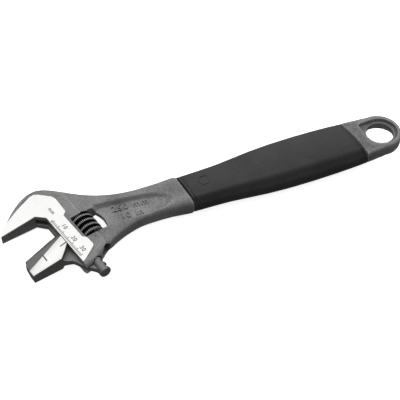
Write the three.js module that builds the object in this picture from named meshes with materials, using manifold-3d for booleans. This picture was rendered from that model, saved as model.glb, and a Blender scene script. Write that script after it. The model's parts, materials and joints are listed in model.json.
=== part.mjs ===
// Adjustable wrench, 10 inch class: forged steel handle with a reversible jaw,
// a thumb knurl (worm) on a pin, a take-up spring and a moulded grip sleeve.
// Handle axis = X (head at -X, hanging hole at the origin), Z = thickness.
import * as THREE from 'three';
import { mergeVertices } from 'three/addons/utils/BufferGeometryUtils.js';
import { ConvexGeometry } from 'three/addons/geometries/ConvexGeometry.js';
import Module from 'manifold-3d';

const wasm = await Module();
wasm.setup();

// ---- driving dimensions (mm) ----
const GAP = 0.3; // running clearance between pieces
const HEAD_ANGLE = THREE.MathUtils.degToRad(15); // jaws turned from the handle
const THROAT = [-214.7, 9.5]; // top of the mouth wall, where the head frame starts
const FACE_Z = 5.5; // half thickness over the ground faces
const PLATE_Z = 5.1; // half thickness of the forged plate
const TIP_Z = 3.3; // half thickness at the jaw tips
const JAW_REACH = 26.8; // mouth wall to jaw tip
const GRIP_FACE = -5.1; // fixed gripping face, measured along the rail
const MOUTH_END = 42.7; // lower end of the mouth wall

const RAIL_B = 7.7; // rail axis behind the mouth wall
const RAIL_R = 3.5;
const RAIL_TOP = -4;
const RAIL_END = 50.3;
const WEB_Z = 1.65; // half thickness of the web in the slot
const PITCH = 4; // rack pitch and worm lead
const TOOTH_H = 1.9;

const KNURL_B = 16.7; // worm axis behind the mouth wall
const KNURL_R = 7;
const KNURL_FROM = 8.8;
const KNURL_TO = 24.6;
const PIN_R = 1.8;
const PIN_HEAD_R = 3.6;
const PIN_HEAD_A = 28.9; // inner face of the pin's head, sunk in its bore
const WINDOW = { from: 8.2, to: 25.2, left: 10.9, right: 26.6, bulge: 1.2 };

const SLEEVE_FROM = -132.3;
const SLEEVE_TO = -19.6;
const SLEEVE_SLANT = -0.15; // the sleeve's end faces lean toward the head on the far side
const TANG = { y: 11.5, z: 4.5 }; // half sizes of the bar inside the sleeve
const TAIL_Z = 4.6;
const HANG_R = 8.6; // hanging hole
const DISH_R = 10.6; // dished recess round the hole
const DISH_DEPTH = 3.1;

// outline of the neck recess, and the half thickness of the web it leaves at each x
const NECK_RECESS = [
  [-187.8, 10.5], [-175, 8.9], [-161.4, 7.2], [-150, 4.8], [-143.4, 2.2], [-140.6, -1],
  [-140.5, -4.2], [-142.8, -7.1], [-147.2, -8.7], [-159, -9.1], [-183.4, -8.6],
];
const NECK_WEB = [[-200, 1.6], [-188, 1.6], [-170, 2.2], [-155, 3.2], [-145, 4.4], [-138, 5.8]];

// ---- materials ----
const steel = new THREE.MeshStandardMaterial({ color: 0x8b8b88, metalness: 0.7, roughness: 0.5 });
const jawSteel = new THREE.MeshStandardMaterial({ color: 0xb9b9b6, metalness: 0.9, roughness: 0.4 });
const blackSteel = new THREE.MeshStandardMaterial({ color: 0x2c2c2d, metalness: 0.6, roughness: 0.5 });
const wire = new THREE.MeshStandardMaterial({ color: 0xa9aaab, metalness: 1, roughness: 0.3 });
const plastic = new THREE.MeshStandardMaterial({ color: 0x2b2b2c, metalness: 0, roughness: 0.6 });

// ---- head frame: a runs down the rail (opening), b runs back into the head ----
const RAIL_DIR = new THREE.Vector3(Math.sin(HEAD_ANGLE), -Math.cos(HEAD_ANGLE), 0);
const BACK_DIR = new THREE.Vector3(Math.cos(HEAD_ANGLE), Math.sin(HEAD_ANGLE), 0);
const headMatrix = new THREE.Matrix4()
  .makeBasis(RAIL_DIR, BACK_DIR, new THREE.Vector3(0, 0, 1))
  .setPosition(THROAT[0], THROAT[1], 0);

function head(a, b) {
  const p = new THREE.Vector3(a, b, 0).applyMatrix4(headMatrix);
  return [p.x, p.y];
}

// ---- solids ----
function solid(geometry, matrix) {
  let g = geometry.index ? geometry.toNonIndexed() : geometry.clone();
  g.deleteAttribute('normal');
  g.deleteAttribute('uv');
  if (matrix) g.applyMatrix4(matrix);
  g = mergeVertices(g, 1e-4);
  return new wasm.Manifold(new wasm.Mesh({
    numProp: 3,
    vertProperties: Float32Array.from(g.attributes.position.array),
    triVerts: Uint32Array.from(g.index.array),
  }));
}

function geometryOf(manifold) {
  const mesh = manifold.getMesh();
  const g = new THREE.BufferGeometry();
  g.setAttribute('position', new THREE.BufferAttribute(Float32Array.from(mesh.vertProperties), 3));
  g.setIndex(new THREE.BufferAttribute(Uint32Array.from(mesh.triVerts), 1));
  g.computeVertexNormals();
  return g;
}

function part(name, manifold, material) {
  const mesh = new THREE.Mesh(geometryOf(manifold), material);
  mesh.name = name;
  return mesh;
}

function shapeOf(points) {
  return new THREE.Shape(points.map((p) => new THREE.Vector2(p[0], p[1])));
}

// a plate of the outline, halfZ each side of the middle plane, edges rounded if asked
function plate(shape, halfZ, edge = null, curveSegments = 6) {
  const thick = edge ? edge.thickness : 0;
  const g = new THREE.ExtrudeGeometry(shape, {
    depth: 2 * (halfZ - thick),
    curveSegments,
    bevelEnabled: Boolean(edge),
    bevelThickness: thick,
    bevelSize: edge ? edge.size : 0,
    bevelOffset: edge ? -edge.size : 0,
    bevelSegments: edge ? edge.segments : 0,
  });
  g.translate(0, 0, -(halfZ - thick));
  return g;
}

// a plate drawn in the head frame
function headPlate(points, halfZ) {
  return solid(plate(shapeOf(points), halfZ), headMatrix);
}

// a round bar along the rail direction
function headBar(radius, from, to, b, sides = 32) {
  const g = new THREE.CylinderGeometry(radius, radius, to - from, sides);
  g.rotateZ(-Math.PI / 2);
  g.translate((from + to) / 2, b, 0);
  return solid(g, headMatrix);
}

function hull(points, matrix) {
  return solid(new ConvexGeometry(points.map((p) => new THREE.Vector3(...p))), matrix);
}

// half thickness of the ground wedge at depth b: thinner toward the jaw tips
function wedgeZ(b) {
  return TIP_Z + ((FACE_Z - TIP_Z) * (b + JAW_REACH)) / JAW_REACH;
}

// everything outside the ground wedge faces over the mouth
function wedgeTrim() {
  const far = 60;
  const top = 20;
  const block = (s) => hull([
    [-far, 0, s * FACE_Z], [far, 0, s * FACE_Z],
    [-far, -far, s * wedgeZ(-far)], [far, -far, s * wedgeZ(-far)],
    [-far, 0, s * top], [far, 0, s * top],
    [-far, -far, s * top], [far, -far, s * top],
  ], headMatrix);
  return block(1).add(block(-1));
}

// ---- lofts along the handle ----
// handle section: shallow dome on top and bottom, sloping flanks, rounded edge
function handleSection(w, t, y0) {
  const ring = [];
  const arc = 5;
  const flank = [[w * 0.985, t * 0.16], [w * 0.93, t * 0.36], [w * 0.74, t * 0.76], [w * 0.66, t * 0.87]];
  const quarter = [[w, 0], ...flank];
  for (let i = 1; i <= arc; i += 1) {
    const y = w * 0.66 * (1 - i / arc);
    quarter.push([y, t * (1 - 0.13 * (y / (w * 0.66)) ** 2)]);
  }
  const half = [...quarter, ...quarter.slice(0, -1).reverse().map(([y, z]) => [-y, z])];
  ring.push(...half, ...half.slice(1, -1).reverse().map(([y, z]) => [y, -z]));
  return ring.map(([y, z]) => [y + y0, z]);
}

// rounded rectangle of half sizes y and z
function boxSection(y, z, r, y0 = 0, steps = 3) {
  const ring = [];
  for (const [sy, sz, q] of [[1, 1, 0], [-1, 1, 1], [-1, -1, 2], [1, -1, 3]]) {
    for (let i = 0; i <= steps; i += 1) {
      const t = ((q + i / steps) * Math.PI) / 2;
      ring.push([y0 + sy * (y - r) + r * Math.cos(t), sz * (z - r) + r * Math.sin(t)]);
    }
  }
  return ring;
}

// closed skin over rings that all have the same number of points
function loft(stations) {
  const n = stations[0].ring.length;
  const vertices = [];
  const index = [];
  for (const { x, ring, slant = 0 } of stations) {
    for (const [y, z] of ring) vertices.push(x + slant * y, y, z);
  }
  for (let s = 0; s < stations.length - 1; s += 1) {
    for (let i = 0; i < n; i += 1) {
      const a = s * n + i;
      const b = s * n + ((i + 1) % n);
      index.push(a, b, b + n, a, b + n, a + n);
    }
  }
  const cap = (s, flip) => {
    for (let i = 1; i < n - 1; i += 1) {
      const tri = [s * n, s * n + i, s * n + i + 1];
      index.push(...(flip ? tri.reverse() : tri));
    }
  };
  cap(0, true);
  cap(stations.length - 1, false);
  const g = new THREE.BufferGeometry();
  g.setAttribute('position', new THREE.Float32BufferAttribute(vertices, 3));
  g.setIndex(index);
  return g;
}

// ---- body: one forging from the fixed jaw to the hanging ring ----
function headShape() {
  const s = new THREE.Shape();
  s.moveTo(...head(MOUTH_END, 0));
  s.lineTo(...head(MOUTH_END + 1, -12));
  s.lineTo(-243.5, -40);
  s.lineTo(-242.2, 6);
  s.splineThru([
    [-240.3, 12.2], [-232.2, 23.2], [-224, 30.8], [-216, 34.1], [-208, 32.2],
    [-198, 26.1], [-186, 19.0], [-173, 14.3], [-161, 12.4],
  ].map((p) => new THREE.Vector2(...p)));
  s.lineTo(-153, 12.1);
  s.lineTo(-153, -10.3);
  s.lineTo(-160, -10.6);
  s.splineThru([
    [-166, -11.4], [-175, -14.3], [-184, -18.9], [-190, -23.4], [-196.5, -28.9],
  ].map((p) => new THREE.Vector2(...p)));
  return s;
}

// ground faces standing slightly proud of the forged plate
function groundShape() {
  return shapeOf([
    [-244, 4], [-241.2, 11], [-236.4, 16.2], [-229, 22.2], [-219.2, 28.6], [-214.4, 28.5],
    [-207.3, 24], [-205.6, 21.5], head(2.4, 11.4), head(4.4, 8.9), head(24.3, 9.1),
    head(26.3, 10.7), head(32.7, 11), head(33.8, 9.7), head(38.1, 3), head(39.6, 0), head(39.6, -4),
  ]);
}

function mouthCut() {
  return headPlate([
    [0, 0], [GRIP_FACE, -4.74], [GRIP_FACE, -60], [80, -60], [80, 0],
  ], 20);
}

function railChannel() {
  const bore = headBar(RAIL_R + GAP, -17, 70, RAIL_B, 40);
  const slot = headPlate([
    [GRIP_FACE, -4.9], [-16.8, 3.6], [-16.8, RAIL_B], [70, RAIL_B], [70, -4.9],
  ], WEB_Z + GAP);
  return bore.add(slot);
}

function windowCut() {
  const { from, to, left, right, bulge } = WINDOW;
  const s = new THREE.Shape();
  s.moveTo(from, left);
  s.lineTo(to, left);
  s.lineTo(to, right - 2);
  s.quadraticCurveTo(to, right, to - 2, right);
  s.quadraticCurveTo((from + to) / 2, right + 2 * bulge, from + 3, right);
  s.quadraticCurveTo(from, right, from, right - 3);
  const through = solid(plate(s, 12), headMatrix);
  return through.add(headBar(KNURL_R + 0.4, from, to, KNURL_B, 40));
}

function pinHole() {
  return headBar(PIN_R + GAP, 2.2, 29, KNURL_B, 24)
    .add(headBar(PIN_HEAD_R + GAP, PIN_HEAD_A - 0.4, 50, KNURL_B, 28));
}

function shank() {
  const stations = [
    [-188, 8, 4.4, 0.4, 3.3], [-170, 11.2, 5, 0.8, 3.3], [-160, 11.5, 5.2, 0.9, 3.3],
    [-152, 11.3, 5.5, 0.9, 3.5], [-144, 11.4, 6, 0.8, 3.8, -0.05],
    [-137.5, 12, 6.4, 0.5, 4.6, -0.12], [SLEEVE_FROM - GAP, 12.3, 6.5, 0.2, 5.2, SLEEVE_SLANT],
  ];
  return solid(loft(stations.map(([x, w, t, y, r, slant]) => (
    { x, slant, ring: boxSection(w, t, r, y, 5) }))));
}

function tang() {
  const ring = boxSection(TANG.y, TANG.z, 2.5);
  return solid(loft([{ x: -136, ring }, { x: -12, ring }]));
}

function tailShape() {
  const s = new THREE.Shape();
  const x0 = SLEEVE_TO + GAP;
  const turn = THREE.MathUtils.degToRad(94.6);
  s.moveTo(x0 + SLEEVE_SLANT * 15.5, 15.5);
  s.lineTo(x0 - SLEEVE_SLANT * 15.5, -15.5);
  s.absarc(-0.9, 0, 14.2, -turn, turn, false);
  return s;
}

// D shaped dish on each side of the hanging hole, straight wall toward the grip
function dish(side) {
  const s = new THREE.Shape();
  s.moveTo(-DISH_R, -7.6);
  s.quadraticCurveTo(-6, -10.6, 0, -DISH_R - 0.4);
  s.absarc(0, -0.4, DISH_R, -Math.PI / 2, Math.PI / 2, false);
  s.quadraticCurveTo(-6, 10.4, -DISH_R, 9.4);
  const g = plate(s, 2, null, 8);
  g.translate(0, 0, side * (TAIL_Z - DISH_DEPTH + 2));
  return solid(g);
}

// boat shaped recess of the neck, cut from both sides down to a web
function neckRecess() {
  const under = NECK_WEB.map(([x, z]) => [x, -z]).reverse();
  const web = plate(shapeOf([...NECK_WEB, ...under]), 30);
  web.rotateX(Math.PI / 2);
  return solid(plate(shapeOf(NECK_RECESS), 20)).subtract(solid(web));
}

function body() {
  const hole = new THREE.CylinderGeometry(HANG_R, HANG_R, 20, 48);
  hole.rotateX(Math.PI / 2);
  const edge = { thickness: 3.4, size: 3.2, segments: 3 };
  return solid(plate(headShape(), PLATE_Z, edge, 4))
    .add(solid(plate(groundShape(), FACE_Z, { thickness: 0.5, size: 0.4, segments: 1 })))
    .add(shank())
    .add(tang())
    .add(solid(plate(tailShape(), TAIL_Z, { thickness: 2, size: 1.6, segments: 2 }, 20)))
    .subtract(wedgeTrim())
    .subtract(mouthCut())
    .subtract(railChannel())
    .subtract(windowCut())
    .subtract(pinHole())
    .subtract(neckRecess())
    .subtract(dish(1))
    .subtract(dish(-1))
    .subtract(solid(hole));
}

// ---- movable jaw: jaw, web, and the round rail with its rack ----
const TOOTH_PHASE = 12.9; // a rack tooth stands here, in the middle of a worm groove
const SKEW = PITCH / (2 * Math.PI * 6); // teeth lean with the worm helix

function jawBlock() {
  const b = -GAP - 0.05;
  const points = [];
  for (const s of [1, -1]) {
    points.push(
      [16.3, b, s * wedgeZ(b)], [25.6, -JAW_REACH, s * wedgeZ(-JAW_REACH)],
      [30.1, -JAW_REACH, s * wedgeZ(-JAW_REACH)], [30.1, -8.5, s * wedgeZ(-8.5)],
      [22.9, b, s * wedgeZ(b)],
      [12.7, b, s * 3.3], [14, -6, s * 3.1], [17.7, -24.2, s * 1.6], [20.6, -26.5, s * 1.8],
    );
  }
  return hull(points, headMatrix);
}

// the scoop that thins the jaw down to the web
function jawScoop() {
  const points = [];
  for (const s of [1, -1]) {
    points.push(
      [30.1, -8.5, s * 3.4], [22.5, -GAP - 0.05, s * 4.4], [20, -5, s * 3],
      [31.2, -6, s * WEB_Z], [33.2, -3, s * WEB_Z], [34, -GAP - 0.05, s * WEB_Z],
    );
  }
  return hull(points, headMatrix);
}

function jawWeb() {
  const s = new THREE.Shape();
  s.moveTo(20, -5);
  s.lineTo(31.2, -6);
  s.quadraticCurveTo(32, -3, 36.5, -1.6);
  s.quadraticCurveTo(41, 0.2, 44.6, 3.2);
  s.quadraticCurveTo(47, 5, RAIL_END - 0.4, 5.4);
  s.lineTo(RAIL_END - 0.4, RAIL_B);
  s.lineTo(RAIL_TOP + 0.4, RAIL_B);
  s.lineTo(RAIL_TOP + 0.4, 5.4);
  s.quadraticCurveTo(9, 5, 12.9, 0);
  s.lineTo(14.5, -3);
  return solid(plate(s, WEB_Z), headMatrix);
}

function rail() {
  const profile = [
    [0, RAIL_TOP], [RAIL_R - 0.5, RAIL_TOP], [RAIL_R, RAIL_TOP + 0.5],
    [RAIL_R, RAIL_END - 0.5], [RAIL_R - 0.5, RAIL_END], [0, RAIL_END],
  ];
  const g = new THREE.LatheGeometry(profile.map((p) => new THREE.Vector2(...p)), 32);
  g.rotateZ(-Math.PI / 2);
  g.translate(0, RAIL_B, 0);
  return solid(g, headMatrix);
}

function rackGaps() {
  const crest = RAIL_B + RAIL_R + 0.5;
  const root = RAIL_B + RAIL_R - TOOTH_H;
  let gaps = null;
  for (let k = -5; k <= 9; k += 1) {
    const a = TOOTH_PHASE + (k + 0.5) * PITCH;
    if (a < RAIL_TOP + 1 || a > RAIL_END - 1) continue;
    const g = plate(shapeOf([
      [a - 1.44, crest], [a - 1, root], [a + 1, root], [a + 1.44, crest],
    ]), 5);
    const p = g.attributes.position;
    for (let i = 0; i < p.count; i += 1) p.setX(i, p.getX(i) + SKEW * p.getZ(i));
    const one = solid(g, headMatrix);
    gaps = gaps ? gaps.add(one) : one;
  }
  return gaps;
}

function movableJaw() {
  return jawBlock().add(jawScoop()).add(jawWeb()).add(rail()).subtract(rackGaps());
}

// ---- knurl: single start, left hand worm turned by the thumb ----
function wormRod() {
  const sides = 36;
  const turns = 7;
  const root = KNURL_R - TOOTH_H;
  const period = [[-1, root], [-0.65, KNURL_R], [0.65, KNURL_R], [1, root]];
  const stride = period.length;
  const rows = stride * turns;
  const start = TOOTH_PHASE - 2 - 3 * PITCH;
  const vertices = [];
  const index = [];
  const id = (i, j) => (i === sides ? (j + stride) : i * (rows + stride) + j);
  for (let i = 0; i < sides; i += 1) {
    const t = i / sides;
    for (let j = 0; j < rows + stride; j += 1) {
      const [da, r] = period[j % stride];
      const a = start + Math.floor(j / stride) * PITCH + da + t * PITCH;
      const angle = Math.PI - t * 2 * Math.PI;
      vertices.push(a, r * Math.cos(angle), r * Math.sin(angle));
    }
  }
  for (let i = 0; i < sides; i += 1) {
    for (let j = 0; j < rows - 1; j += 1) {
      const [p, q, u, v] = [id(i, j), id(i, j + 1), id(i + 1, j + 1), id(i + 1, j)];
      index.push(p, q, u, p, u, v);
    }
  }
  // close both spiral ends with a fan from the axis
  const axis = vertices.length / 3;
  vertices.push(start - 1, 0, 0, start + turns * PITCH + 2, 0, 0);
  const lead = [];
  const trail = [];
  for (let i = 0; i < sides; i += 1) {
    lead.push(id(i, 0));
    trail.push(id(i, rows - 1));
  }
  for (let j = stride; j > 0; j -= 1) lead.push(id(0, j));
  for (let j = rows - 1 + stride; j > rows - 1; j -= 1) trail.push(id(0, j));
  for (let i = 0; i < lead.length; i += 1) {
    index.push(axis, lead[i], lead[(i + 1) % lead.length]);
    index.push(axis + 1, trail[(i + 1) % trail.length], trail[i]);
  }
  const g = new THREE.BufferGeometry();
  g.setAttribute('position', new THREE.Float32BufferAttribute(vertices, 3));
  g.setIndex(index);
  g.translate(0, KNURL_B, 0);
  return solid(g, headMatrix);
}

function knurl() {
  const blank = headBar(KNURL_R + 1, KNURL_FROM, KNURL_TO, KNURL_B, 24);
  const bore = headBar(PIN_R + GAP, KNURL_FROM - 1, KNURL_TO + 1, KNURL_B, 24);
  const springPocket = headBar(3.1, KNURL_FROM - 1, KNURL_FROM + 4.6, KNURL_B, 28);
  return wormRod().intersect(blank).subtract(bore).subtract(springPocket);
}

// ---- pin with a slotted head, screwed in from the lower edge ----
function knurlPin() {
  const profile = [
    [0, 2.6], [PIN_R - 0.4, 2.6], [PIN_R, 3], [PIN_R, PIN_HEAD_A], [PIN_HEAD_R, PIN_HEAD_A],
    [PIN_HEAD_R, PIN_HEAD_A + 2.1], [PIN_HEAD_R - 0.4, PIN_HEAD_A + 2.5], [0, PIN_HEAD_A + 2.5],
  ];
  const g = new THREE.LatheGeometry(profile.map((p) => new THREE.Vector2(...p)), 28);
  g.rotateZ(-Math.PI / 2);
  g.translate(0, KNURL_B, 0);
  const slot = new THREE.BoxGeometry(3, 10, 0.9);
  slot.translate(PIN_HEAD_A + 2.8, KNURL_B, 0);
  return solid(g, headMatrix).subtract(solid(slot, headMatrix));
}

// ---- take-up spring coiled round the pin inside the knurl ----
class Coil extends THREE.Curve {
  getPoint(t) {
    const turns = 4;
    const angle = t * turns * 2 * Math.PI;
    const a = KNURL_FROM - 0.15 + 0.2 + t * 3.8;
    return new THREE.Vector3(a, KNURL_B + 2.45 * Math.cos(angle), 2.45 * Math.sin(angle));
  }
}

function knurlSpring() {
  const section = new THREE.Shape();
  section.absarc(0, 0, 0.26, 0, 2 * Math.PI, false);
  const g = new THREE.ExtrudeGeometry(section, {
    steps: 72, curveSegments: 4, bevelEnabled: false, extrudePath: new Coil(),
  });
  return solid(g, headMatrix);
}

// ---- grip: thermoplastic moulded over the tang ----
function gripSleeve() {
  const x0 = SLEEVE_FROM;
  const x1 = SLEEVE_TO;
  const lean = SLEEVE_SLANT;
  const stations = [
    [x0, 12.9, 6.9, lean], [x0 + 0.8, 13.4, 7.4, lean], [x0 + 12, 13.6, 7.6, lean / 2],
    [x0 + 24, 14.1, 7.9], [x0 + 36, 15.4, 8.3], [x0 + 48, 16.8, 8.7], [x0 + 62, 17.7, 9],
    [x0 + 78, 18, 9], [x0 + 94, 17.8, 8.8, lean / 3], [x0 + 106, 17.4, 8.3, lean / 1.5],
    [x1 - 1.2, 17, 7.9, lean], [x1, 15.8, 6.9, lean],
  ];
  const outer = solid(loft(stations.map(([x, w, t, slant]) => (
    { x, slant, ring: handleSection(w, t, 0) }))));
  const ring = boxSection(TANG.y + GAP, TANG.z + GAP, 2.6);
  return outer.subtract(solid(loft([{ x: x0 - 6, ring }, { x: x1 + 6, ring }])));
}

const wrench = new THREE.Group();
wrench.name = 'adjustable_wrench';
wrench.add(
  part('body', body(), steel),
  part('movable_jaw', movableJaw(), jawSteel),
  part('knurl', knurl(), blackSteel),
  part('knurl_pin', knurlPin(), steel.clone()),
  part('knurl_spring', knurlSpring(), wire),
  part('grip_sleeve', gripSleeve(), plastic),
);

// stand the model on its lowest point, centred on its outline
const box = new THREE.Box3().setFromObject(wrench, true);
const middle = box.getCenter(new THREE.Vector3());
for (const piece of wrench.children) {
  piece.geometry.translate(-middle.x, -middle.y, -box.min.z);
}
export default wrench;
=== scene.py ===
# %% [markdown]
# # An adjustable wrench
#
# The tool lies flat on a pale floor. It is a forged handle with a fixed jaw, a jaw that slides
# on a toothed rail, a thumb knurl that drives it, a pin, a small spring and a moulded grip.
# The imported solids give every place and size. This script gives each piece its finished
# surface: rounded forging, ground faces with an engraved scale, knurling, pipe teeth and grain.

# %% Load the solids
import json
import math
import bmesh
import bpy
import numpy as np
from mathutils import Matrix, Vector


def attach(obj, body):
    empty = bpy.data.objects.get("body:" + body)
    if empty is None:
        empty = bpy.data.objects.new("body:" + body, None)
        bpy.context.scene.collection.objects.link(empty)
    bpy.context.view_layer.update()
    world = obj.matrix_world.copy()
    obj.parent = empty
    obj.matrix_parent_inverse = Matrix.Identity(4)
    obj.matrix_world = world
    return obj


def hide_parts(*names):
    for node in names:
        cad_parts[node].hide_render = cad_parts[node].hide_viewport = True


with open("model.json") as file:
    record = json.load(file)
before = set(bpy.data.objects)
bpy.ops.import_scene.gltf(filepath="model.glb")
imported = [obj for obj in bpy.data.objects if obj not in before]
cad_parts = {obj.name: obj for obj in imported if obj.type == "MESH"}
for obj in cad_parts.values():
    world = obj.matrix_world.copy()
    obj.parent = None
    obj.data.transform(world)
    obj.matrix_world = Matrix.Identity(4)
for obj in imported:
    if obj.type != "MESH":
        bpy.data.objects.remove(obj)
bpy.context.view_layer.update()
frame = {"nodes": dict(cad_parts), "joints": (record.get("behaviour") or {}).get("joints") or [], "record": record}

# %% [markdown]
# ## Two local frames, in millimetres
#
# A toolmaker measures the handle from its hanging hole and the head from the foot of the mouth
# wall, because the jaws are turned 15 degrees. So there are two frames here: handle(x, y, z)
# and head(a, b, z), where a runs down the rail and b runs back into the head. Both come from
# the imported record, so the looks follow the solids if those ever move.

# %% Handle frame and head frame
MM = 0.001
openings = {o["name"]: o["box_m"] for o in frame["record"]["physics"]["openings"]}
worm_joint = next(j for j in frame["joints"] if j["name"] == "knurl_turn")
HOLE = (Vector(openings["hanging_hole"][0]) + Vector(openings["hanging_hole"][1])) / 2
RAIL = Vector(worm_joint["axis"])
BACK = Vector((-RAIL.y, RAIL.x, 0))
KNURL_AT = 16.7
THROAT = Vector(worm_joint["pos_m"]) - (RAIL + BACK) * KNURL_AT * MM
MIDDLE = THROAT.z

HANDLE = Matrix.Translation((HOLE.x, HOLE.y, MIDDLE)) @ Matrix.Scale(MM, 4)
HEAD = (Matrix.Translation(THROAT)
        @ Matrix((RAIL, BACK, (0, 0, 1))).transposed().to_4x4()
        @ Matrix.Scale(MM, 4))
HEAD_IN_HANDLE = HANDLE.inverted() @ HEAD
print("throat in the handle frame, mm", [round(x, 2) for x in HANDLE.inverted() @ THROAT])


def to_head(points):
    """Handle-frame points, n by 3, measured in the head frame."""
    m = np.array(HEAD_IN_HANDLE.inverted())
    return points @ m[:3, :3].T + m[:3, 3]


# %% [markdown]
# ## Small tools for meshes and materials
#
# Every finished piece is one mesh with its place in its vertices.

# %% Mesh helpers
def new_object(name, mesh, material=None):
    obj = bpy.data.objects.new(name, mesh)
    bpy.context.scene.collection.objects.link(obj)
    if material:
        mesh.materials.clear()
        mesh.materials.append(material)
    return obj


def mesh_of(name, points, faces, matrix=HANDLE):
    """A mesh from points in one of the two local frames."""
    mesh = bpy.data.meshes.new(name)
    mesh.from_pydata([tuple(p) for p in points], [], [tuple(f) for f in faces])
    mesh.transform(matrix)
    mesh.validate()
    mesh.update()
    return mesh


def baked(obj):
    """The object with its modifiers applied, as a plain mesh."""
    depsgraph = bpy.context.evaluated_depsgraph_get()
    mesh = bpy.data.meshes.new_from_object(obj.evaluated_get(depsgraph))
    obj.modifiers.clear()
    obj.data = mesh
    return obj


def points_of(mesh):
    co = np.empty(len(mesh.vertices) * 3)
    mesh.vertices.foreach_get("co", co)
    return co.reshape(-1, 3)


def put_points(mesh, points):
    mesh.vertices.foreach_set("co", points.astype(np.float32).ravel())
    mesh.update()


def edges_of(mesh):
    pairs = np.empty(len(mesh.edges) * 2, int)
    mesh.edges.foreach_get("vertices", pairs)
    return pairs.reshape(-1, 2)


def relax(points, edges, weight, times):
    """Moves each point toward the mean of its neighbours, as far as its weight allows."""
    count = np.bincount(edges.ravel(), minlength=len(points))[:, None]
    for _ in range(times):
        total = np.zeros_like(points)
        np.add.at(total, edges[:, 0], points[edges[:, 1]])
        np.add.at(total, edges[:, 1], points[edges[:, 0]])
        points = points + (total / count - points) * weight[:, None]
    return points


def merged(mesh, distance):
    bm = bmesh.new()
    bm.from_mesh(mesh)
    bmesh.ops.remove_doubles(bm, verts=bm.verts, dist=distance)
    bmesh.ops.dissolve_degenerate(bm, edges=bm.edges, dist=distance / 4)
    bmesh.ops.recalc_face_normals(bm, faces=bm.faces)
    bm.to_mesh(mesh)
    bm.free()


def faced_out(mesh):
    """Turns every face of a closed mesh outward."""
    bm = bmesh.new()
    bm.from_mesh(mesh)
    bmesh.ops.recalc_face_normals(bm, faces=bm.faces)
    bm.to_mesh(mesh)
    bm.free()


def solid_copy(name, node, voxel=None):
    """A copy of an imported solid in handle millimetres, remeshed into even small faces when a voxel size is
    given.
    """
    mesh = frame["nodes"][node].data.copy()
    mesh.transform(HANDLE.inverted())
    mesh.materials.clear()
    merged(mesh, 0.002)
    obj = new_object(name, mesh)
    if voxel:
        remesh = obj.modifiers.new("even faces", "REMESH")
        remesh.mode = "VOXEL"
        remesh.voxel_size = voxel
        baked(obj)
    return obj


def shade(obj, angle=None):
    obj.data.shade_smooth()
    if angle:
        obj.data.set_sharp_from_angle(angle=math.radians(angle))


def step(low, high, value):
    """Smooth step from 0 at low to 1 at high."""
    t = np.clip((value - low) / (high - low), 0, 1)
    return t * t * (3 - 2 * t)


def settle(obj, body, slot, *nodes):
    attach(obj, body)
    if nodes:
        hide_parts(*nodes)
    print(obj.name, len(obj.data.polygons), "faces on", body)


# %% [markdown]
# ## Camera, floor and light
#
# A long lens looks down on the tool at about 49 degrees from the head end. The light is one
# wide soft ceiling, bright overhead and behind, and dim toward the viewer and below. It gives
# what a light tent gives: ground faces white, slopes toward the viewer dark, and no hard shadow.

# %% Camera
camera_data = bpy.data.cameras.new("camera")
camera_data.lens = 86.98
camera_data.sensor_width = 36
camera_data.clip_start = 0.01
camera = bpy.data.objects.new("camera", camera_data)
bpy.context.scene.collection.objects.link(camera)
camera.location = (-0.1523, -0.3522, 0.4461)
camera.rotation_euler = (math.radians(40.6), 0, math.radians(-22.2))
bpy.context.scene.camera = camera
bpy.context.scene.view_settings.view_transform = "Standard"
print("camera looks down at", round(90 - math.degrees(camera.rotation_euler.x), 1), "degrees")


# %% Node helper and colours
def linear(code):
    """An sRGB hex colour as linear RGBA."""
    parts = [int(code[i:i + 2], 16) / 255 for i in (1, 3, 5)]
    return tuple(c / 12.92 if c < 0.04045 else ((c + 0.055) / 1.055) ** 2.4 for c in parts) + (1,)


def add(tree, kind, inputs=None, **settings):
    """Adds a node, sets it up, and fills its inputs with values or with links."""
    node = tree.nodes.new(kind)
    for key, value in settings.items():
        setattr(node, key, value)
    for key, value in (inputs or {}).items():
        if isinstance(value, bpy.types.NodeSocket):
            tree.links.new(value, node.inputs[key])
        else:
            node.inputs[key].default_value = value
    return node


# %% World: a soft ceiling that fades toward the viewer and the floor
world = bpy.data.worlds.new("light tent")
bpy.context.scene.world = world
world.use_nodes = True
tree = world.node_tree
tree.nodes.clear()
CEILING_AXIS = (0.15, 0.50, 0.85)
direction = add(tree, "ShaderNodeTexCoord").outputs["Generated"]
height = add(tree, "ShaderNodeVectorMath", {0: direction, 1: CEILING_AXIS}, operation="DOT_PRODUCT")
tent = add(tree, "ShaderNodeValToRGB", {0: height.outputs["Value"]})
tent.color_ramp.elements[0].position = 0.0
tent.color_ramp.elements[0].color = (0.17, 0.17, 0.17, 1)
tent.color_ramp.elements[1].position = 0.75
tent.color_ramp.elements[1].color = (1.0, 1.0, 1.0, 1)
seen = add(tree, "ShaderNodeLightPath").outputs["Is Camera Ray"]
glow = add(tree, "ShaderNodeMix", {"Factor": seen, 6: tent.outputs["Color"], 7: (1, 1, 1, 1)},
           data_type="RGBA")
sky = add(tree, "ShaderNodeBackground", {"Color": glow.outputs[2], "Strength": 1.0})
add(tree, "ShaderNodeOutputWorld", {"Surface": sky.outputs[0]})
print("world", world.name, "has", len(tree.nodes), "nodes")

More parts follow.
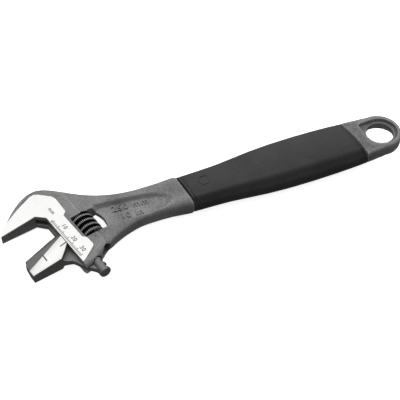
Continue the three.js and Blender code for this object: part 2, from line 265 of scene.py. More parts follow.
# %% Floor and lamp
floor_mesh = bpy.data.meshes.new("floor")
floor_mesh.from_pydata([(-4, -4, 0), (4, -4, 0), (4, 4, 0), (-4, 4, 0)], [], [(0, 1, 2, 3)])
paper = bpy.data.materials.new("white paper sweep")
paper.use_nodes = True
bsdf = paper.node_tree.nodes["Principled BSDF"]
bsdf.inputs["Base Color"].default_value = linear("#f4f4f4")
bsdf.inputs["Roughness"].default_value = 0.9
bsdf.inputs["Emission Color"].default_value = (1, 1, 1, 1)
bsdf.inputs["Emission Strength"].default_value = 0.84
floor = new_object("floor", floor_mesh, paper)
floor.location.z = -0.0002
floor.visible_diffuse = False
floor.visible_glossy = False

lamp_data = bpy.data.lights.new("ceiling panel", "AREA")
lamp_data.shape = "RECTANGLE"
lamp_data.size = 0.9
lamp_data.size_y = 0.5
lamp_data.energy = 1.0
lamp = bpy.data.objects.new("ceiling panel", lamp_data)
bpy.context.scene.collection.objects.link(lamp)
lamp.location = (-0.1, 0.45, 0.8)
lamp.rotation_euler = (Vector((0, 0, 0)) - lamp.location).to_track_quat("-Z", "Y").to_euler()
print("floor", paper.name, "and lamp", lamp.name)

# %% [markdown]
# ## Finishes
#
# The forging is drop-forged alloy steel with a manganese phosphate coat: a dark grey, faintly
# crystalline skin that scatters light and wears lighter on its edges. The jaw sides are ground
# flat after coating, so bare steel shows there with fine straight grinding lines. The grip is
# a moulded soft thermoplastic with spark-eroded grain, and the knurl is black oxide steel.

# %% Phosphated forging
def finish(name, roughness, metallic=0.0):
    material = bpy.data.materials.new(name)
    material.use_nodes = True
    bsdf = material.node_tree.nodes["Principled BSDF"]
    bsdf.inputs["Metallic"].default_value = metallic
    bsdf.inputs["Roughness"].default_value = roughness
    return material, material.node_tree, bsdf


def mottled(name, dark, light, roughness, metallic, grain_mm, bump_mm, wear_and_highlight=None):
    """A finish whose colour and height vary in grains of grain_mm; where the rim attribute is set, a paler tone
    shows: edge wear on the forging, and polish together with painted highlight on the knurl crests.
    """
    material, tree, bsdf = finish(name, roughness, metallic)
    place = add(tree, "ShaderNodeTexCoord").outputs["Object"]
    grain = add(tree, "ShaderNodeTexNoise", {"Vector": place, "Scale": 1 / (grain_mm * MM),
                                             "Detail": 3.0, "Roughness": 0.6})
    cloud = add(tree, "ShaderNodeTexNoise", {"Vector": place, "Scale": 1 / (18 * MM), "Detail": 2.0})
    blend = add(tree, "ShaderNodeMath", {0: grain.outputs["Fac"], 1: cloud.outputs["Fac"]},
                operation="ADD")
    share = add(tree, "ShaderNodeMapRange", {"Value": blend.outputs[0], "From Min": 0.7,
                                             "From Max": 1.3})
    colour = add(tree, "ShaderNodeMix", {"Factor": share.outputs[0], 6: linear(dark),
                                         7: linear(light)}, data_type="RGBA").outputs[2]
    # the rim attribute mixes in a paler tone: real edge wear on the forging, and on the knurl crests partly polish
    # and partly painted highlight
    if wear_and_highlight:
        rim = add(tree, "ShaderNodeAttribute", attribute_name="rim").outputs["Fac"]
        colour = add(tree, "ShaderNodeMix", {"Factor": rim, 6: colour, 7: linear(wear_and_highlight)},
                     data_type="RGBA").outputs[2]
    tree.links.new(colour, bsdf.inputs["Base Color"])
    bump = add(tree, "ShaderNodeBump", {"Height": grain.outputs["Fac"], "Strength": 0.5,
                                        "Distance": bump_mm * MM})
    tree.links.new(bump.outputs[0], bsdf.inputs["Normal"])
    return material


# Real phosphate crystals and spark-eroded grain are much finer than a millimetre, too fine to
# show in a view of the whole tool. So both are drawn coarser than life, in grains of 1.1 and
# 1.2 mm. Those two widths were chosen, and the colours were then adjusted until the
# finished tones matched the object.

# dull mid grey with a broken sparkle, paler on the worn edges
phosphated_forging = mottled("phosphated forged steel", "#58585a", "#949493", 0.5, 0.35,
                             1.1, 0.16, wear_and_highlight="#a6a6a4")
# near black, with thin bright lines on the crests: partly polish from the thumb, partly painted highlight
black_oxide = mottled("black oxide knurled steel", "#0c0c0d", "#1c1c1d", 0.38, 0.6,
                      0.5, 0.02, wear_and_highlight="#b4b4b2")
# clean bright wire in a dark pocket
drawn_wire = mottled("drawn spring steel wire", "#77787a", "#98999b", 0.3, 1.0, 0.3, 0.01)
# darker and smoother than the forging round it
turned_pin = mottled("turned and phosphated steel", "#4a4a4c", "#626264", 0.42, 0.7, 0.5, 0.02)
# even grey of a piece that is machined all over and then coated
jaw_steel = mottled("ground and phosphated jaw steel", "#646466", "#7a7a79", 0.42, 0.7,
                    0.5, 0.03)
# charcoal with a fine pebble; the paler back comes from the ceiling's light, not the finish
grip_rubber = mottled("moulded thermoplastic grip", "#101011", "#2b2b2d", 0.5, 0.0, 1.2, 0.2)


# %% Ground steel: parallel grinding lines across the wedge faces
def ground(name, dark, light, roughness):
    """Bare steel with straight grinding lines every 0.25 mm, drawn a little coarse to show."""
    material, tree, bsdf = finish(name, roughness, 1.0)
    place = add(tree, "ShaderNodeTexCoord").outputs["Object"]
    turned = add(tree, "ShaderNodeMapping", {"Vector": place, "Rotation": (0, 0, math.radians(-15)),
                                             "Scale": (4000, 80, 80)})
    lines = add(tree, "ShaderNodeTexNoise", {"Vector": turned.outputs[0], "Scale": 1.0,
                                             "Detail": 2.0})
    tone = add(tree, "ShaderNodeMix", {"Factor": lines.outputs["Fac"], 6: linear(dark),
                                       7: linear(light)}, data_type="RGBA")
    tree.links.new(tone.outputs[2], bsdf.inputs["Base Color"])
    bump = add(tree, "ShaderNodeBump", {"Height": lines.outputs["Fac"], "Strength": 0.25,
                                        "Distance": 0.01 * MM})
    tree.links.new(bump.outputs[0], bsdf.inputs["Normal"])
    return material


# the brightest finish on the tool: bare metal that mirrors the ceiling softly
ground_steel = ground("surface ground steel", "#d0d0ce", "#eaeae8", 0.42)
# flat dark grey, which reads as a blackened cut from a distance
engraving = finish("engraved and blackened mark", 0.6, 0.2)[0]
engraving.node_tree.nodes["Principled BSDF"].inputs["Base Color"].default_value = linear("#2e2e2e")
print("finishes", sorted(m.name for m in bpy.data.materials))

# %% [markdown]
# ## The forging
#
# A forging has no sharp edge: the die leaves round corners, sloping walls and soft run-outs.
# The imported solid is cut with sharp edges, so its copy is remeshed into small even faces and
# then shaped by formula: a long boat-shaped recess in the neck, a step behind the jaws, a
# collar on the floor of the dish at the hanging hole, and a light relaxing of every forged edge.

# %% Outline of the neck recess and distances inside it
RECESS = [(-187.8, 10.5), (-175, 8.9), (-161.4, 7.2), (-150, 4.8), (-143.4, 2.2), (-140.6, -1),
          (-140.5, -4.2), (-142.8, -7.1), (-147.2, -8.7), (-159, -9.1), (-183.4, -8.6),
          (-186.9, -9.3), (-191.4, 7.5), (-187.4, 8.8)]


def web_z(x):
    """Half thickness of the web at the bottom of the neck recess."""
    return np.interp(x, [-188, -170, -155, -145, -139], [1.6, 2.2, 3.2, 4.4, 5.6])


def inside(points, outline):
    """Signed distance to a closed outline, positive inside, for n by 2 points."""
    outline = np.array(outline, float)
    best = np.full(len(points), 1e9)
    odd = np.zeros(len(points), bool)
    for (x0, y0), (x1, y1) in zip(outline, np.roll(outline, -1, 0)):
        dx, dy = x1 - x0, y1 - y0
        t = np.clip(((points[:, 0] - x0) * dx + (points[:, 1] - y0) * dy) / (dx * dx + dy * dy), 0, 1)
        best = np.minimum(best, np.hypot(points[:, 0] - x0 - t * dx, points[:, 1] - y0 - t * dy))
        crosses = (y0 > points[:, 1]) != (y1 > points[:, 1])
        with np.errstate(divide="ignore", invalid="ignore"):
            odd ^= crosses & (points[:, 0] < x0 + (points[:, 1] - y0) * dx / (dy or 1e-12))
    return np.where(odd, best, -best)


# %% Forged surfaces by formula
# half thickness at the mouth wall and at the jaw tips, and the distance between the two
FACE_Z, TIP_Z, JAW_REACH = 5.5, 3.3, 26.8
LID_DROP = 0.4  # how far the forged plate lies under the ground faces
STEP_FROM, STEP_TO = 18.0, 18.9  # b where the head plate steps down to the neck
SLEEVE_FROM, SLEEVE_TO, LEAN = -132.3, -19.6, -0.15  # ends of the grip and their slant
RIM_X = [-195, -185, -172, -155, -136, -132]
RIM_Z = [4.25, 4.45, 5.1, 5.7, 6.35, 6.4]  # half thickness of the neck along x
FLANK, FLANK_FOOT, ROUND_POWER = 6.0, 0.34, 2.4  # width, foot and fullness of its round flanks
GROUND_OUTLINE = [(-242.6, 7.5), (-241.2, 11), (-236.4, 16.2), (-229, 22.2), (-219.2, 28.6),
                  (-217, 29.3), (-214.4, 28.5), (-207.3, 24), (-205.6, 21.5)]
GROUND_HEAD = [(2.4, 11.4), (4.4, 8.9), (24.3, 9.1), (25.4, 10.4), (26.8, 11), (32.2, 11.3),
               (33.4, 10.7), (36.6, 5.6), (38.6, 2.2), (39.6, 0.001)]


def wedge(b):
    """Half thickness of the ground faces: level behind the mouth wall, thinner to the tips."""
    return FACE_Z + (FACE_Z - TIP_Z) / JAW_REACH * np.minimum(b, 0)


forging = solid_copy("forged_handle", "body", voxel=0.5)
p = points_of(forging.data)
side = np.sign(p[:, 2])
up = np.abs(p[:, 2])
h = to_head(p)
a, b = h[:, 0], h[:, 1]
x, y = p[:, 0], p[:, 1]

# the plate sinks below the ground faces, which are added later as lids
up = np.where(b < 18.2, np.minimum(up, wedge(b) - LID_DROP), up)
rim_top = np.interp(x, RIM_X, RIM_Z)
in_neck = (b > 17.6) & (x < SLEEVE_FROM - 0.8 + LEAN * y) & (np.abs(y) < 25)

# %% Distance to the neck's outline, which is read from the solid itself
slots = np.arange(-200, -131, 1.0)
far_edge = np.array([y[np.abs(x - s) < 1].max() for s in slots])
near_edge = np.array([y[np.abs(x - s) < 1].min() for s in slots])
slope_far = np.hypot(1, np.gradient(far_edge, slots))
slope_near = np.hypot(1, np.gradient(near_edge, slots))
edge_gap = np.minimum((np.interp(x, slots, far_edge) - y) / np.interp(x, slots, slope_far),
                      (y - np.interp(x, slots, near_edge)) / np.interp(x, slots, slope_near))
print("narrowest place of the neck, mm", round(float((far_edge - near_edge).min()), 1))

# %% Round flanks, and a recess with sloping walls
roundness = np.clip(edge_gap / FLANK, 0, 1)
fullness = (1 - (1 - roundness) ** ROUND_POWER) ** (1 / ROUND_POWER)
flank_cap = rim_top * (FLANK_FOOT + (1 - FLANK_FOOT) * fullness)
depth_in = inside(p[:, :2], RECESS)
wall = 1.0 + 2.0 * step(-6, 4, y) + 3.0 * step(-153, -141, x)  # near, far side and run-out
sunk = step(0, 1, depth_in / wall)
forged = flank_cap * (1 - sunk) + np.minimum(web_z(x), flank_cap) * sunk
top_face = (up > 2.6) | ((depth_in > -0.15) & (up > 1.2))
target = np.where(top_face & in_neck & (edge_gap > 0), forged, up)
# near the window and in the head the solid's own plate is kept, apart from the step
ease = step(STEP_FROM, STEP_TO, b)
eased_top = up * (1 - ease) + target * ease
flank_limit = np.minimum(up, flank_cap + 9 * (1 - ease))
up = np.where(in_neck, np.where(top_face, eased_top, flank_limit), up)
print("forging points", len(p), "recess points", int((sunk > 0.5).sum()))

# %% A rounded collar round the hanging hole, on the floor of its dish
COLLAR_FROM, COLLAR_TO, COLLAR_Z = 9.2, 9.9, 0.8
ring = np.hypot(x, y)
collar = (1 - step(COLLAR_FROM, COLLAR_TO, ring)) * (x > -12) * (up > 1.2)
up = up + COLLAR_Z * collar
p[:, 2] = side * up
put_points(forging.data, p)

# %% Relax the forged edges, but not the machined walls
edges = edges_of(forging.data)
machined = ((b < 1.2) | ((np.abs(b - 7.7) < 4.4) & (a < 60))).astype(float)
soft = 0.12 + 0.45 * (1 - machined)
p = relax(p, edges, soft, 3)
put_points(forging.data, p)
merged(forging.data, 0.1)
p = points_of(forging.data)

# %% Edge wear as an attribute: the share by which a point stands proud of its neighbours
FULL_WEAR, WEAR_SHARE = 0.12, 0.6  # mm proud for full wear, and how pale full wear turns
edges = edges_of(forging.data)
normals = np.array([v.normal for v in forging.data.vertices])
proud = np.einsum("ij,ij->i", p - relax(p, edges, np.ones(len(p)), 3), normals)
rim = forging.data.attributes.new("rim", "FLOAT", "POINT")
rim.data.foreach_set("value", np.clip(proud / FULL_WEAR, 0, 1).astype(np.float32) * WEAR_SHARE)
forging.data.transform(HANDLE)
forging.data.materials.append(phosphated_forging)
shade(forging)
settle(forging, "handle", "forged_steel", "body")

# %% [markdown]
# ## Ground faces and their scale
#
# After forging, both sides of the head are ground to a wedge, so each is a crisp thin land that
# stands a little proud of the forged skin. Each is made here as a lid: its outline is laid out
# flat, split where the wedge starts, lifted to the wedge and given a thickness.
# The upper one carries the millimetre scale, and the lower one the inch scale.

# %% A lid over an outline, folded along the mouth wall
def clip_below(outline, keep):
    """The part of a closed head-frame outline with b < 0 (keep -1) or b > 0 (keep 1)."""
    out = []
    for p0, p1 in zip(outline, outline[1:] + outline[:1]):
        if p0[1] * keep >= 0:
            out.append(p0)
        if p0[1] * p1[1] < 0:
            t = p0[1] / (p0[1] - p1[1])
            out.append((p0[0] + t * (p1[0] - p0[0]), 0.0))
    return out


def lid(name, outline, lift=0.0, thick=0.6, edge=0.12):
    """A thin plate on the upper wedge face over a head-frame outline, and its mirror below.

    On the head's lids the edge rounding collapses and is cleaned away, so they stay crisp.
    """
    bm = bmesh.new()
    for keep in (1, -1):
        part = clip_below(outline, keep)
        if len(part) < 3:
            continue
        bm.faces.new([bm.verts.new((q[0], q[1], wedge(q[1]) + lift)) for q in part])
    bmesh.ops.remove_doubles(bm, verts=bm.verts, dist=0.001)
    bmesh.ops.recalc_face_normals(bm, faces=bm.faces)
    if sum(f.normal.z * f.calc_area() for f in bm.faces) < 0:
        bmesh.ops.reverse_faces(bm, faces=bm.faces)
    mesh = bpy.data.meshes.new(name)
    bm.to_mesh(mesh)
    bm.free()
    obj = new_object(name, mesh)
    shell = obj.modifiers.new("thickness", "SOLIDIFY")
    shell.thickness = thick
    shell.offset = -1
    round_off = obj.modifiers.new("edge", "BEVEL")
    round_off.width = edge
    round_off.segments = 2
    round_off.limit_method = "ANGLE"
    round_off.angle_limit = math.radians(40)
    baked(obj)
    bm = bmesh.new()
    bm.from_mesh(obj.data)
    bmesh.ops.remove_doubles(bm, verts=bm.verts, dist=0.004)
    bmesh.ops.dissolve_degenerate(bm, edges=bm.edges, dist=0.004)
    copy = bmesh.ops.duplicate(bm, geom=bm.verts[:] + bm.edges[:] + bm.faces[:])["geom"]
    twins = [g for g in copy if isinstance(g, bmesh.types.BMVert)]
    for v in twins:
        v.co.z = -v.co.z
    bmesh.ops.reverse_faces(bm, faces=[g for g in copy if isinstance(g, bmesh.types.BMFace)])
    bm.to_mesh(obj.data)
    bm.free()
    obj.data.transform(HEAD)
    return obj


head_part = to_head(np.array([(px, py, 0) for px, py in GROUND_OUTLINE]))
MOUTH = [(0, 0.001), (-5.1, -4.74), (-5.1, -27.42)]
outline = [(q[0], q[1]) for q in head_part] + GROUND_HEAD + MOUTH
lands = lid("ground_head_faces", outline)
lands.data.materials.append(ground_steel)
shade(lands, 30)
settle(lands, "handle", "forged_steel")

# %% [markdown]
# ## The sliding jaw
#
# The jaw is turned over in its channel, so its pipe side faces inward: two bevels run down to a
# narrow toothed land. Its flat nut side faces out. The round rail below carries the rack.
# The copy is remeshed finer than the forging, because it is machined all over. The teeth are
# a row of equal wedges, which Geometry Nodes lay along the land.

# %% Jaw: the flank beyond its land is hollowed down to the web
WEB_Z, SCOOP_RUN = 1.65, 1.6
LAND_A, LAND_B, LEAN_A, LEAN_B = 22.9, -0.35, 0.75, 0.66  # a point of the land's edge, its slant
jaw = solid_copy("sliding_jaw", "movable_jaw", voxel=0.3)
q = points_of(jaw.data)
h = to_head(q)
a, b, up = h[:, 0], h[:, 1], np.abs(q[:, 2])
past = (a - LAND_A) * LEAN_A + (b - LAND_B) * LEAN_B  # distance past the edge of the land
scoop = (past > 0) & (a < 36) & (b < -0.3) & (b > -8.6) & (up > WEB_Z)
hollow = WEB_Z + (up - WEB_Z) * np.exp(-np.clip(past, 0, None) / SCOOP_RUN)
q[:, 2] = np.where(scoop, np.sign(q[:, 2]) * hollow, q[:, 2])
put_points(jaw.data, relax(q, edges_of(jaw.data), np.where(scoop, 0.4, 0.1), 2))
jaw.data.transform(HANDLE)
jaw.data.materials.append(jaw_steel)
shade(jaw)
settle(jaw, "jaw", "jaw_steel", "movable_jaw")

# %% Ground lids of the jaw
JAW_LAND = [(16.35, -0.4), (22.8, -0.4), (26.6, -4.3), (30.05, -8.5), (30.05, -26.75),
            (25.65, -26.75)]
jaw_lands = lid("ground_jaw_faces", JAW_LAND, lift=0.03, thick=0.2, edge=0.08)
jaw_lands.data.materials.append(ground_steel)
shade(jaw_lands, 30)
settle(jaw_lands, "jaw", "jaw_steel")


# %% Geometry Nodes: a row of ribs, for the pipe teeth and the ticks of the scale
def node_tree(name, inputs):
    """An empty geometry tree with named inputs; returns it with its input and output nodes."""
    tree = bpy.data.node_groups.new(name, "GeometryNodeTree")
    tree.interface.new_socket("Geometry", in_out="INPUT", socket_type="NodeSocketGeometry")
    for label, kind, value in inputs:
        socket = tree.interface.new_socket(label, in_out="INPUT", socket_type=kind)
        socket.default_value = value
    tree.interface.new_socket("Geometry", in_out="OUTPUT", socket_type="NodeSocketGeometry")
    return tree, tree.nodes.new("NodeGroupInput"), tree.nodes.new("NodeGroupOutput")


def grown(name, tree, values, base=None):
    """Runs a tree on an object and returns the plain mesh that it makes."""
    obj = new_object(name, base or bpy.data.meshes.new(name))
    modifier = obj.modifiers.new("grow", "NODES")
    modifier.node_group = tree
    for item in tree.interface.items_tree:
        if item.in_out == "INPUT" and item.name in values:
            modifier[item.identifier] = values[item.name]
    return baked(obj)


tree, given, result = node_tree("row of ribs", [
    ("Count", "NodeSocketInt", 10), ("Pitch", "NodeSocketFloat", 1.6),
    ("Height", "NodeSocketFloat", 0.6), ("First width", "NodeSocketFloat", 6.0),
    ("Last width", "NodeSocketFloat", 3.0), ("Thickness", "NodeSocketFloat", 1.6),
    ("Sides", "NodeSocketInt", 3), ("Material", "NodeSocketMaterial", None)])
line = add(tree, "GeometryNodeMeshLine", {"Count": given.outputs["Count"]})
along = add(tree, "ShaderNodeCombineXYZ", {"X": given.outputs["Pitch"]})
tree.links.new(along.outputs[0], line.inputs["Offset"])
index = add(tree, "GeometryNodeInputIndex").outputs[0]
last = add(tree, "ShaderNodeMath", {0: given.outputs["Count"], 1: 1.0}, operation="SUBTRACT")
width = add(tree, "ShaderNodeMapRange", {"Value": index, "From Max": last.outputs[0],
                                         "To Min": given.outputs["First width"],
                                         "To Max": given.outputs["Last width"]})
rib = add(tree, "GeometryNodeMeshCylinder", {"Vertices": given.outputs["Sides"], "Radius": 0.5774,
                                             "Depth": 1.0})
laid = add(tree, "GeometryNodeTransform", {"Geometry": rib.outputs["Mesh"],
                                           "Rotation": (0, 0, math.radians(30))})
size = add(tree, "ShaderNodeCombineXYZ", {"X": given.outputs["Thickness"],
                                          "Y": given.outputs["Height"], "Z": width.outputs[0]})
ribs = add(tree, "GeometryNodeInstanceOnPoints", {"Points": line.outputs[0],
                                                  "Instance": laid.outputs[0],
                                                  "Scale": size.outputs[0]})
real = add(tree, "GeometryNodeRealizeInstances", {0: ribs.outputs[0]})
painted = add(tree, "GeometryNodeSetMaterial", {"Geometry": real.outputs[0],
                                                "Material": given.outputs["Material"]})
tree.links.new(painted.outputs[0], result.inputs[0])
row_of_ribs = tree
print("geometry tree", row_of_ribs.name, "has", len(row_of_ribs.nodes), "nodes")

# %% Pipe teeth along the narrow land of the jaw
LAND_TOP, LAND_TIP = Vector((14.0, -6.0, 0)), Vector((17.7, -24.2, 0))
run = (LAND_TIP - LAND_TOP).normalized()
out = Vector((run.y, -run.x, 0))
TOOTH_PITCH = 1.5
tooth_count = int((LAND_TIP - LAND_TOP).length / TOOTH_PITCH) + 1
teeth = grown("pipe_teeth", row_of_ribs, {
    "Count": tooth_count, "Pitch": TOOTH_PITCH, "Height": 1.1, "Thickness": 1.45,
    "First width": 6.0, "Last width": 3.3, "Sides": 3, "Material": jaw_steel})
axes = Matrix((run, out, (0, 0, 1))).transposed().to_4x4()
teeth.data.transform(HEAD @ Matrix.Translation(LAND_TOP + run * 0.6 - out * 0.05) @ axes)
teeth.data.flip_normals()
shade(teeth, 20)
settle(teeth, "jaw", "jaw_steel")

# %% [markdown]
# ## The knurl
#
# The thumb drives a single-start, left-hand worm. Its thread lands are cut across with fine
# axial grooves for grip. The shape follows a rule, so it is written as one: the radius at each
# turn angle and each place along the pin. The crests are coloured bright, partly as polish from
# wear and partly as painted highlight, and that share is kept as an attribute for the finish.

# %% Worm surface from its rule
PITCH, TOOTH_H, KNURL_R, CREST_PHASE = 4.0, 1.9, 7.0, 10.9
KNURL_FROM, KNURL_TO, BORE_R, POCKET_R, POCKET_TO = 8.8, 24.6, 2.1, 3.1, 13.4
AROUND, ALONG, GROOVES = 288, 150, 40


def worm_radius(a, phi):
    """Radius of the worm and the share of it that is knurled crest."""
    turn = (math.pi - phi) / (2 * math.pi)
    off = (a - CREST_PHASE) / PITCH - turn
    off = np.abs(off - np.round(off)) * PITCH
    land = 1 - np.clip((off - 0.65) / 0.35, 0, 1)
    groove = (0.5 + 0.5 * np.cos(GROOVES * phi)) ** 1.5
    crest = step(0.75, 1.0, land)
    r = KNURL_R - TOOTH_H * (1 - land) - 0.3 * groove * crest
    end = np.minimum(a - KNURL_FROM, KNURL_TO - a)
    # the second value is the crest share that the finish paints bright, partly as polish and partly as painted
    # highlight
    return np.minimum(r, KNURL_R - 0.55 + np.clip(end, 0, 0.55)), (crest * (1 - groove)) ** 3


phi = np.linspace(0, 2 * np.pi, AROUND, endpoint=False)
along = np.linspace(KNURL_FROM, KNURL_TO, ALONG)
grid_a, grid_phi = np.meshgrid(along, phi, indexing="ij")
radius, crest = worm_radius(grid_a, grid_phi)
rings = [(grid_a[i], radius[i], crest[i]) for i in range(ALONG)]
for at, r in ((KNURL_TO, BORE_R), (POCKET_TO, BORE_R), (POCKET_TO, POCKET_R), (KNURL_FROM, POCKET_R)):
    rings.append((np.full(AROUND, at), np.full(AROUND, r), np.zeros(AROUND)))
points = np.concatenate([np.stack([at, KNURL_AT + r * np.cos(phi), r * np.sin(phi)], 1)
                         for at, r, _ in rings])
faces = []
for i in range(len(rings)):
    n = (i + 1) % len(rings)
    for j in range(AROUND):
        k = (j + 1) % AROUND
        faces.append((i * AROUND + j, n * AROUND + j, n * AROUND + k, i * AROUND + k))
worm_mesh = mesh_of("thumb_knurl", points, faces, HEAD)
faced_out(worm_mesh)
# the crest share that the finish paints bright: partly polish, partly painted highlight
rim = worm_mesh.attributes.new("rim", "FLOAT", "POINT")
rim.data.foreach_set("value", np.concatenate([c for _, _, c in rings]).astype(np.float32))
knurl = new_object("thumb_knurl", worm_mesh, black_oxide)
shade(knurl, 35)
settle(knurl, "worm", "black_steel", "knurl")

# %% [markdown]
# ## Pin and spring
#
# The knurl turns on a slotted pin that is screwed in from the lower edge, and a short coil
# spring in a pocket of the knurl takes up the play. Both are simple turned and wound parts, so
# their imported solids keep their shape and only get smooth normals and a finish.

# %% Pin and spring from their solids
for name, node, material, slot in (("slotted_pin", "knurl_pin", turned_pin, "pin_steel"),
                                   ("take_up_spring", "knurl_spring", drawn_wire, "spring_wire")):
    piece = solid_copy(name, node)
    piece.data.transform(HANDLE)
    piece.data.materials.append(material)
    shade(piece, 50 if node == "knurl_spring" else 35)
    settle(piece, "handle", slot, node)

# %% [markdown]
# ## The grip
#
# The sleeve is moulded in soft thermoplastic over the handle. Each cross section has a shallow
# domed back, a ridge line on each side and sloping flanks, so it is a loft: one section rule,
# widths and heights along the handle, and ends that lean. A lip and a groove finish both ends.

# %% Section rule and sizes along the grip
SLEEVE_X = [-132.3, -120.3, -108.3, -96.3, -84.3, -70.3, -54.3, -38.3, -26.3, -19.6]
SLEEVE_W = [13.35, 13.6, 14.1, 15.4, 16.8, 17.7, 18.0, 17.8, 17.4, 17.0]
SLEEVE_T = [7.4, 7.6, 7.9, 8.3, 8.7, 9.0, 9.0, 8.8, 8.3, 7.9]
RING = 192


def sleeve_ring():
    """The grip's section for half width 1 and half thickness 1, in even steps, ridges eased."""
    dome = [(v, 1 - 0.13 * (v / 0.66) ** 2) for v in np.linspace(0.66, 0, 12)]
    quarter = [(1, 0), (0.985, 0.16), (0.93, 0.36), (0.74, 0.76)] + dome
    half = quarter + [(-u, v) for u, v in quarter[-2::-1]]
    ring = np.array(half + [(u, -v) for u, v in half[-2:0:-1]] + half[:1])
    length = np.hypot(*(np.diff(ring, axis=0) * (15, 8)).T)
    at = np.concatenate([[0], np.cumsum(length)])
    even = np.linspace(0, at[-1], RING, endpoint=False)
    ring = np.stack([np.interp(even, at, ring[:, 0]), np.interp(even, at, ring[:, 1])], 1)
    return (np.roll(ring, 1, 0) + 2 * ring + np.roll(ring, -1, 0)) / 4


def sleeve_half(x):
    """Half width and half thickness of the grip along the handle, with eased changes."""
    fine = np.linspace(SLEEVE_FROM, SLEEVE_TO, 400)
    kernel = np.hanning(41) / np.hanning(41).sum()
    eased = [np.convolve(np.pad(np.interp(fine, SLEEVE_X, v), 20, "edge"), kernel, "valid")
             for v in (SLEEVE_W, SLEEVE_T)]
    return [np.interp(x, fine, v) for v in eased]


# %% Grip sleeve as a loft, closed through its bore
LIP, GROOVE, GROOVE_AT, GROOVE_WIDTH = 0.8, 0.4, 2.0, 0.3
profile = sleeve_ring()
near_end = np.array([0, 0.1, 0.3, 0.6, 1.0, 1.4, 1.7, 2.0, 2.3, 2.7])
stations = np.concatenate([SLEEVE_FROM + near_end, np.arange(-129, -22.6, 0.8),
                           SLEEVE_TO - near_end[::-1]])
rings = []
for at in stations:
    half_w, half_t = sleeve_half(at)
    end = min(at - SLEEVE_FROM, SLEEVE_TO - at)
    inset = LIP * (1 - math.sqrt(1 - (1 - min(end, 1)) ** 2))
    inset += GROOVE * math.exp(-((end - GROOVE_AT) / GROOVE_WIDTH) ** 2)
    lean = LEAN * (np.interp(at, [SLEEVE_FROM, SLEEVE_FROM + 24], [1, 0])
                   + np.interp(at, [SLEEVE_TO - 40, SLEEVE_TO], [0, 1]))
    wide, thick = profile[:, 0] * (half_w - inset), profile[:, 1] * (half_t - inset)
    rings.append(np.stack([at + lean * wide, wide, thick], 1))
BORE_Y, BORE_Z = 11.8, 4.8
angle = np.arctan2(profile[:, 1] * 8, profile[:, 0] * 15)
bore = 1 / (np.abs(np.cos(angle) / BORE_Y) ** 6 + np.abs(np.sin(angle) / BORE_Z) ** 6) ** (1 / 6)
for at in (SLEEVE_TO, SLEEVE_FROM):
    wide = bore * np.cos(angle)
    rings.append(np.stack([at + LEAN * wide, wide, bore * np.sin(angle)], 1))
faces = [(i * RING + j, ((i + 1) % len(rings)) * RING + j,
          ((i + 1) % len(rings)) * RING + (j + 1) % RING, i * RING + (j + 1) % RING)
         for i in range(len(rings)) for j in range(RING)]
sleeve_mesh = mesh_of("moulded_grip", np.concatenate(rings), faces)
faced_out(sleeve_mesh)
sleeve = new_object("moulded_grip", sleeve_mesh, grip_rubber)
shade(sleeve, 50)
settle(sleeve, "handle", "grip_plastic", "grip_sleeve")

# %% [markdown]
# ## Marks
#
# The scale on such a tool is rolled or etched and filled dark, and it shows how far the jaws
# are open. Here each mark is a very thin dark piece laid on the ground face, which reads the
# same from a distance and needs no cut in the mesh. The size stands in raised letters on the
# floor of the recess, as a die leaves them. A plain hexagon on the grip replaces a badge.

# %% Letters and ticks
def lettering(name, words, material, thick, place):
    """Words as one mesh; each is (text, x, y, height), and place puts the points where they go."""
    bm = bmesh.new()
    for text, x, y, height in words:
        curve = bpy.data.curves.new(name, "FONT")
        curve.body, curve.size, curve.extrude = text, height * 1.38, thick / 2
        curve.align_x, curve.align_y = "CENTER", "CENTER"
        curve.offset = 0.05
        curve.space_character = 1.15
        curve.resolution_u = 4
        letter = bpy.data.objects.new(name, curve)
        bpy.context.scene.collection.objects.link(letter)
        mesh = bpy.data.meshes.new_from_object(
            letter.evaluated_get(bpy.context.evaluated_depsgraph_get()))
        mesh.transform(Matrix.Translation((x, y, 0)))
        bm.from_mesh(mesh)
        bpy.data.objects.remove(letter)
    bmesh.ops.remove_doubles(bm, verts=bm.verts, dist=0.0005)
    bmesh.ops.recalc_face_normals(bm, faces=bm.faces)
    mesh = bpy.data.meshes.new(name)
    bm.to_mesh(mesh)
    bm.free()
    mesh.transform(place)
    return new_object(name, mesh, material)


UPPER = HEAD @ Matrix.Translation((0, 0, FACE_Z))
LOWER = HEAD @ Matrix.Translation((0, 0, -FACE_Z)) @ Matrix.Rotation(math.pi, 4, "Y")
MARK = 0.05
numbers = lettering("millimetre_numbers", [
    ("10", 11.9, 4.8, 2.6), ("20", 22.7, 4.5, 2.6), ("30", 31.7, 4.6, 2.6),
    (".", 4.1, 2.9, 5.0), ("mm", -2.6, 5.0, 2.4)], engraving, MARK, UPPER)
settle(numbers, "handle", "forged_steel")
inches = lettering("inch_numbers", [("0.5", -12.7, 4.9, 2.4), ("1", -25.4, 4.9, 2.4),
                                    ("in", -33.6, 4.6, 2.2)], engraving, MARK, LOWER)
settle(inches, "handle", "forged_steel")

# name, count, pitch, first place, length, and 1 for the upper face or -1 for the lower
TICKS = [("millimetre_ticks", 32, 1.0, 4.0, 1.5, 1), ("millimetre_fives", 7, 5.0, 5.0, 2.3, 1),
         ("inch_sixteenths", 20, 1.5875, 3.175, 1.5, -1), ("inch_quarters", 5, 6.35, 6.35, 2.6, -1)]
for name, count, pitch, start, length, face in TICKS:
    ticks = grown(name, row_of_ribs, {
        "Count": count, "Pitch": pitch, "Height": 0.1, "Thickness": 0.42, "First width": length,
        "Last width": length, "Sides": 3, "Material": engraving})
    across = Matrix(((1, 0, 0), (0, 0, -face), (0, face, 0))).to_4x4()
    ticks.data.transform(HEAD @ Matrix.Translation((start, 0.5 + length / 2, face * (FACE_Z - 0.01)))
                         @ across)
    settle(ticks, "handle", "forged_steel")

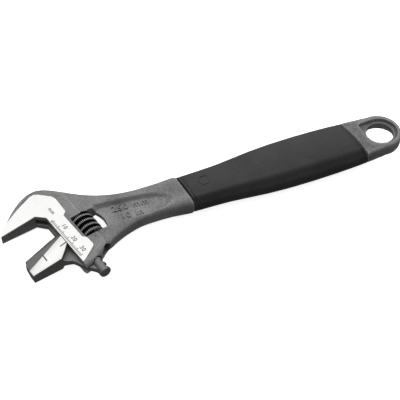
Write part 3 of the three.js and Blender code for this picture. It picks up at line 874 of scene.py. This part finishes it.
# %% Index lines on the jaw, read against the pipe side and the scale
def index_line(name, start, end, width):
    """A filled line on the upper ground face of the jaw, between two head-frame points."""
    (a0, b0), (a1, b1) = start, end
    run = math.hypot(a1 - a0, b1 - b0)
    da, db = -(b1 - b0) / run * width / 2, (a1 - a0) / run * width / 2
    flat = [(a0 - da, b0 - db), (a1 - da, b1 - db), (a1 + da, b1 + db), (a0 + da, b0 + db)]
    points = [(u, v, wedge(v) + lift) for lift in (0, 0.06) for u, v in flat]
    faces = [(3, 2, 1, 0), (4, 5, 6, 7), (0, 1, 5, 4), (1, 2, 6, 5), (2, 3, 7, 6), (3, 0, 4, 7)]
    return new_object(name, mesh_of(name, points, faces, HEAD), engraving)


for name, start, end in (("pipe_index", (21.3, -15.6), (26.2, -15.6)),
                         ("scale_index", (22.4, -4.6), (22.1, -0.5))):
    settle(index_line(name, start, end, 0.7), "jaw", "jaw_steel")

# %% Raised size on the recess floor, and a plain hexagon on the grip
RAISED = 0.8
size_mark = lettering("raised_size", [("250 mm", -166.2, 2.4, 4.3), ("10 in", -167.2, -4.2, 4.3)],
                      phosphated_forging, RAISED, Matrix.Identity(4))
q = points_of(size_mark.data)
q[:, 1] -= 0.1 * (q[:, 0] + 166)
q[:, 2] += web_z(q[:, 0]) + RAISED / 2 - 0.1
put_points(size_mark.data, q)
size_mark.data.transform(HANDLE)
settle(size_mark, "handle", "forged_steel")


def polygon_ring(name, centre, outer, inner, low, high, sides, material):
    """A flat ring with straight sides between two heights, in handle millimetres."""
    turns = [2 * math.pi * k / sides for k in range(sides)]
    points = [(centre[0] + r * math.cos(t), centre[1] + r * math.sin(t), z)
              for r, z in ((outer, low), (outer, high), (inner, high), (inner, low)) for t in turns]
    faces = [(i * sides + j, i * sides + (j + 1) % sides, ((i + 1) % 4) * sides + (j + 1) % sides,
              ((i + 1) % 4) * sides + j) for i in range(4) for j in range(sides)]
    return new_object(name, mesh_of(name, points, faces), material)


badge = polygon_ring("grip_hexagon", (-119.5, 0.8), 4.2, 3.2, 7.2, 7.75, 6, grip_rubber)
shade(badge, 30)
settle(badge, "handle", "grip_plastic")
